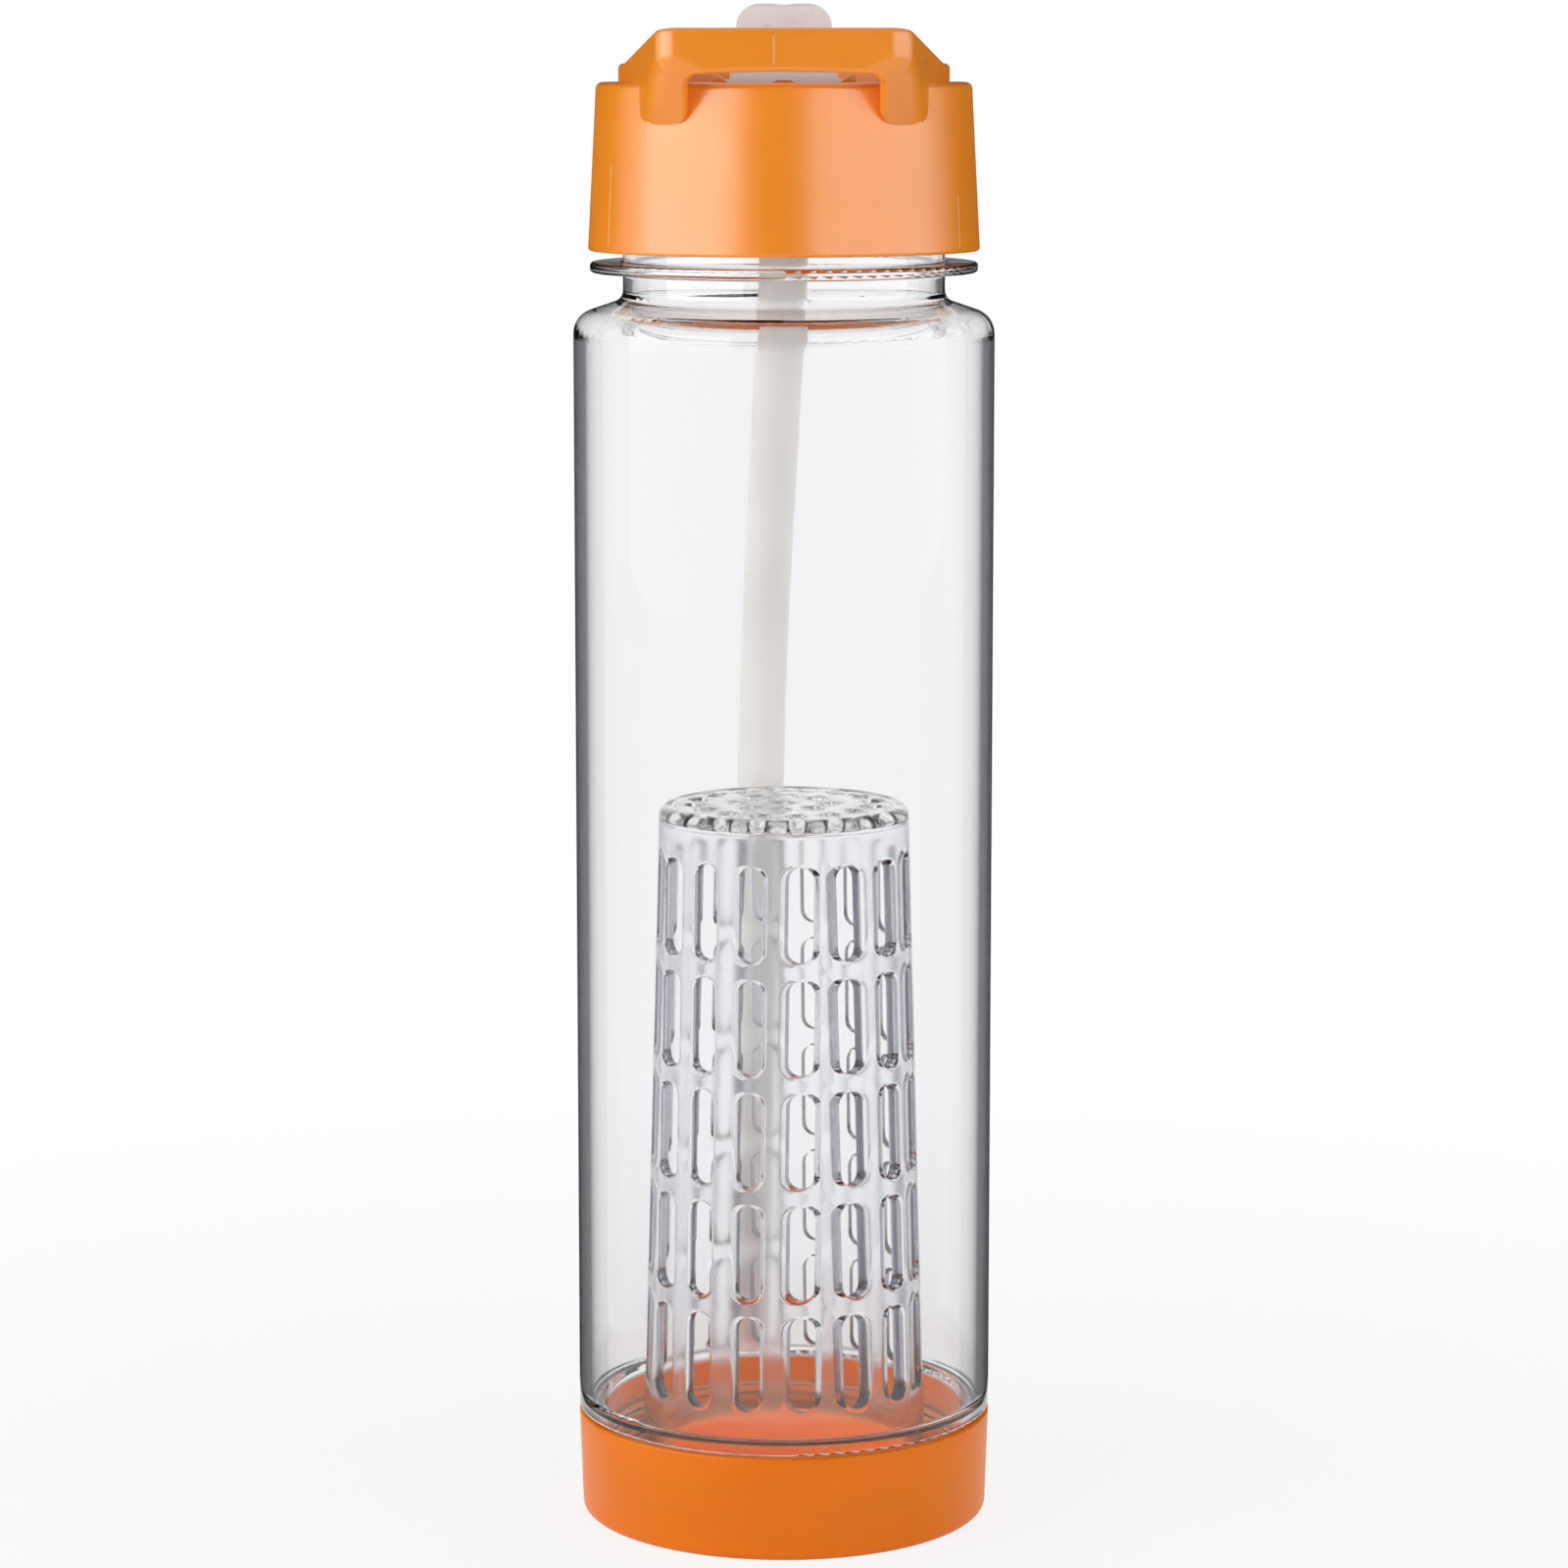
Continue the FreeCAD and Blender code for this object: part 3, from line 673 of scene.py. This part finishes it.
def hole_loops(sheet, centre_turn, reach, turns, border, level, downward):
    """Loops of one hole on one side of the disc, from the cut to the cell's border."""
    loops = []
    for grow, depth in rim_profile(hole_rim, rim_steps):
        radius = hole_radius + grow
        points = []
        for turn in turns:
            side = radius * math.cos(turn)
            ahead = reach + radius * math.sin(turn)
            points.append(in_pull(centre_turn, side, ahead, level - downward * depth))
        loops.append(sheet.add_loop(points))
    loops.append(sheet.add_loop([(x, y, level) for x, y in border]))
    return loops


def add_hole(sheet, centre_turn, reach, turns, border):
    """One hole through the disc, with its cell of the disc above and below."""
    ceiling = basket_top - basket_disc
    top = hole_loops(sheet, centre_turn, reach, turns, border, basket_top, downward=1)
    bottom = hole_loops(sheet, centre_turn, reach, turns, border, ceiling, downward=-1)
    sheet.bridge_all(top)
    sheet.bridge_all(bottom)
    sheet.bridge(top[0], bottom[0])


def add_holes(sheet):
    """Top disc of the basket with its holes, above and below."""
    spots = hole_spots()
    for count, inner, outer in hole_rings:
        cell = 2 * math.pi / count
        reach = round((inner + outer) / 2) * hole_pitch
        for index in range(count):
            left = basket_pull_angle + index * cell
            border = []
            for _, across, up in spots:
                radius = (inner + up * (outer - inner)) * hole_pitch
                border.append(in_pull(left + across * cell, 0.0, radius, 0.0)[:2])
            add_hole(sheet, left + cell / 2, reach, [turn for turn, _, _ in spots], border)
    first_count, first_inner = hole_rings[0][:2]
    count = first_count * hole_inner_steps
    turns = [2 * math.pi * index / count for index in range(count)]
    border = [in_pull(basket_pull_angle + turn, 0.0, first_inner * hole_pitch, 0.0)[:2] for turn in turns]
    add_hole(sheet, basket_pull_angle, 0.0, [math.pi / 2 - turn for turn in turns], border)


def add_basket():
    """Basket with rounded slots and holes, in place of the plain CAD one."""
    sheet = Sheet()
    add_slots(sheet)
    basket_edges(sheet)
    add_holes(sheet)
    basket = sheet.to_piece("slotted_basket", "basket", (clear_basket, slot_wall_shade))
    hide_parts("infuser_basket")


def add_thread(name, body, material, root, crest, start, phase):
    """Helical ridge on a round wall, running out into it at both ends."""
    sheet = Sheet()
    sink = thread_sink if root < crest else -thread_sink
    count = int(thread_turns * thread_steps)
    loops = []
    for step in range(count + 1):
        share = step / count
        full = min(1.0, share / thread_run_out, (1 - share) / thread_run_out)
        turn = phase + 2 * math.pi * thread_turns * share
        z = start + thread_lead * thread_turns * share
        top = root + (crest - root) * math.sin(full * math.pi / 2)
        section = (
            (root - sink, z - thread_root_half),
            (root, z - thread_root_half),
            (top, z - thread_crest_half),
            (top, z + thread_crest_half),
            (root, z + thread_root_half),
            (root - sink, z + thread_root_half),
        )
        points = [(radius * math.cos(turn), radius * math.sin(turn), level) for radius, level in section]
        loops.append(sheet.add_loop(points))
    sheet.bridge_all(loops)
    sheet.cap(loops[0])
    sheet.cap(loops[-1])
    sheet.to_piece(name, body, (material,))


def add_seam(name, spine, across, out, crest):
    """Fine mould seam of the lid along a line of points."""
    sheet = Sheet()
    loops = []
    for index, point in enumerate(spine):
        ends = index in (0, len(spine) - 1)
        height = 0.0 if ends else crest
        loop = []
        for side, rise in ((-1.0, -seam_sink), (-1.0, 0.0), (0.0, height), (1.0, 0.0), (1.0, -seam_sink)):
            offset = Vector(across) * side * seam_half_width + Vector(out) * rise
            loop.append(tuple(Vector(point) + offset))
        loops.append(sheet.add_loop(loop))
    sheet.bridge_all(loops)
    sheet.cap(loops[0])
    sheet.cap(loops[-1])
    sheet.to_piece(name, "lid", (orange,))


def add_skirt_seam(name, azimuth, high):
    """Mould seam up the lid's drafted skirt."""
    spine = []
    for share in seam_shares:
        z = skirt_seam_low + share * (high - skirt_seam_low)
        radius = skirt_radius - (z - skirt_bottom) * math.tan(skirt_draft)
        spine.append((radius * math.sin(azimuth), -radius * math.cos(azimuth), z))
    across = (math.cos(azimuth), math.sin(azimuth), 0.0)
    out = (math.sin(azimuth), -math.cos(azimuth), 0.0)
    add_seam(name, spine, across, out, seam_height)


def add_bar_seam():
    """Mould seam up the front of the carry bar."""
    spine = [(bar_seam_side, bar_front, z) for z in bar_seam_levels]
    add_seam("bar_seam", spine, (1.0, 0.0, 0.0), (0.0, -1.0, 0.0), bar_seam_height)


dress_nodes()
add_basket()
add_thread("neck_thread", "bottle", clear_body, neck_root, neck_crest, neck_start, lid_phase)
add_thread("foot_thread", "bottle", clear_body, foot_root, foot_crest, foot_start, base_phase)
add_thread("lid_thread", "lid", orange, lid_root, lid_crest, lid_start, lid_phase)
add_thread("base_thread", "base", orange, base_root, base_crest, base_start, base_phase)
add_skirt_seam("skirt_seam_left", -skirt_seam_azimuth, left_seam_high)
add_skirt_seam("skirt_seam_right", skirt_seam_azimuth, right_seam_high)
add_bar_seam()


def aim(item, place, target):
    """Put a camera, lamp or card at a place and turn it to a target."""
    item.location = place
    item.rotation_euler = (target - place).to_track_quat("-Z", "Y").to_euler()


def stand(item, azimuth, distance, height):
    """Put a lamp or card at an azimuth from the front, facing the bottle's axis."""
    place = Vector((distance * math.sin(azimuth), -distance * math.cos(azimuth), height))
    aim(item, place, Vector((0.0, 0.0, height)))


def add_camera():
    """Camera at the photo's viewpoint."""
    data = bpy.data.cameras.new("camera")
    data.lens = camera_lens
    data.sensor_width = camera_sensor
    camera = bpy.data.objects.new("camera", data)
    bpy.context.collection.objects.link(camera)
    aim(camera, Vector((0.0, -camera_distance, camera_height)), Vector((0.0, 0.0, camera_target)))
    bpy.context.scene.camera = camera


def add_soft_box(name, azimuth, width, power):
    """Large soft box that faces the bottle and isn't seen through clear plastic, but lights what is in it."""
    data = bpy.data.lights.new(name, "AREA")
    data.shape = "RECTANGLE"
    data.size = width
    data.size_y = box_tall
    data.energy = power
    lamp = bpy.data.objects.new(name, data)
    bpy.context.collection.objects.link(lamp)
    stand(lamp, azimuth, box_distance, box_middle)
    lamp.visible_camera = False
    data.use_nodes = True
    tree = data.node_tree
    path = tree.nodes.new("ShaderNodeLightPath")
    unscattered = ramp_up(tree, path.outputs["Diffuse Depth"], 0.0, 1.0, 1.0, 0.0)
    passed = ramp_up(tree, path.outputs["Transmission Depth"], 0.0, 1.0, 0.0, 1.0)
    level = add_math(tree, "SUBTRACT", 1.0, add_math(tree, "MULTIPLY", passed, unscattered))
    tree.links.new(level, tree.nodes["Emission"].inputs["Strength"])
    return lamp


def add_card(name, half):
    """Flat square mesh object."""
    mesh = bpy.data.meshes.new(name)
    grid = bmesh.new()
    bmesh.ops.create_grid(grid, x_segments=1, y_segments=1, size=half)
    grid.to_mesh(mesh)
    grid.free()
    card = bpy.data.objects.new(name, mesh)
    bpy.context.collection.objects.link(card)
    return card


def add_flag(name, azimuth, distance, width, height):
    """Dark card beside or before the bottle, seen only in gloss, that keeps the object's edges deep."""
    flag = add_card(name, flag_half)
    stand(flag, azimuth, distance, height / 2)
    flag.scale = (width, height, 1.0)
    flag.visible_camera = False
    flag.visible_diffuse = False
    flag.visible_transmission = False
    flag.visible_shadow = False
    material, _, shader = new_material(name)
    shader.inputs["Base Color"].default_value = srgb(flag_grey, flag_grey, flag_grey)
    shader.inputs["Roughness"].default_value = flag_roughness
    flag.data.materials.append(material)


def seen_rays(tree):
    """One for rays that show the background: from the camera, in gloss and through clear plastic."""
    path = tree.nodes.new("ShaderNodeLightPath")
    direct = add_math(tree, "MAXIMUM", path.outputs["Is Camera Ray"], path.outputs["Is Transmission Ray"])
    return add_math(tree, "MAXIMUM", direct, path.outputs["Is Glossy Ray"])


def add_world():
    """White background with a lower level of plain light."""
    world = bpy.data.worlds.new("studio")
    world.use_nodes = True
    tree = world.node_tree
    background = tree.nodes["Background"]
    background.inputs["Color"].default_value = (1.0, 1.0, 1.0, 1.0)
    level = ramp_up(tree, seen_rays(tree), 0.0, 1.0, ambient_level, background_level)
    tree.links.new(level, background.inputs["Strength"])
    bpy.context.scene.world = world


def add_floor():
    """Plain white floor that keeps a soft shadow."""
    floor = add_card("floor", floor_half)
    floor.location.z = cad_box[0][2]
    material, tree, shader = new_material("floor")
    shader.inputs["Base Color"].default_value = (floor_grey, floor_grey, floor_grey, 1.0)
    shader.inputs["Roughness"].default_value = floor_roughness
    white = tree.nodes.new("ShaderNodeEmission")
    white.inputs["Strength"].default_value = background_level
    place = tree.nodes.new("ShaderNodeTexCoord")
    reach = tree.nodes.new("ShaderNodeVectorMath")
    reach.operation = "LENGTH"
    tree.links.new(place.outputs["Object"], reach.inputs[0])
    fade = ramp_up(tree, reach.outputs["Value"], floor_near, floor_far, floor_near_white, 1.0)
    mix = tree.nodes.new("ShaderNodeMixShader")
    tree.links.new(add_math(tree, "MULTIPLY", seen_rays(tree), fade), mix.inputs["Fac"])
    tree.links.new(shader.outputs["BSDF"], mix.inputs[1])
    tree.links.new(white.outputs["Emission"], mix.inputs[2])
    tree.links.new(mix.outputs["Shader"], tree.nodes["Material Output"].inputs["Surface"])
    floor.data.materials.append(material)


add_camera()
add_world()
add_floor()
add_soft_box("soft_box_left", left_box_azimuth, left_box_width, left_box_light)
add_soft_box("soft_box_right", right_box_azimuth, wide_box_width, right_box_light)
back_box = add_soft_box("soft_box_back", back_box_azimuth, wide_box_width, back_box_light)
back_box.visible_glossy = False
add_flag("flag_left", -side_flag_azimuth, side_flag_distance, side_flag_width, side_flag_height)
add_flag("flag_right", side_flag_azimuth, side_flag_distance, side_flag_width, side_flag_height)
add_flag("flag_front", front_flag_azimuth, front_flag_distance, front_flag_width, front_flag_height)

scene = bpy.context.scene
scene.view_settings.view_transform = "Standard"
scene.cycles.blur_glossy = 0.0
scene.cycles.max_bounces = light_bounces
scene.cycles.transmission_bounces = light_bounces
scene.cycles.transparent_max_bounces = light_bounces
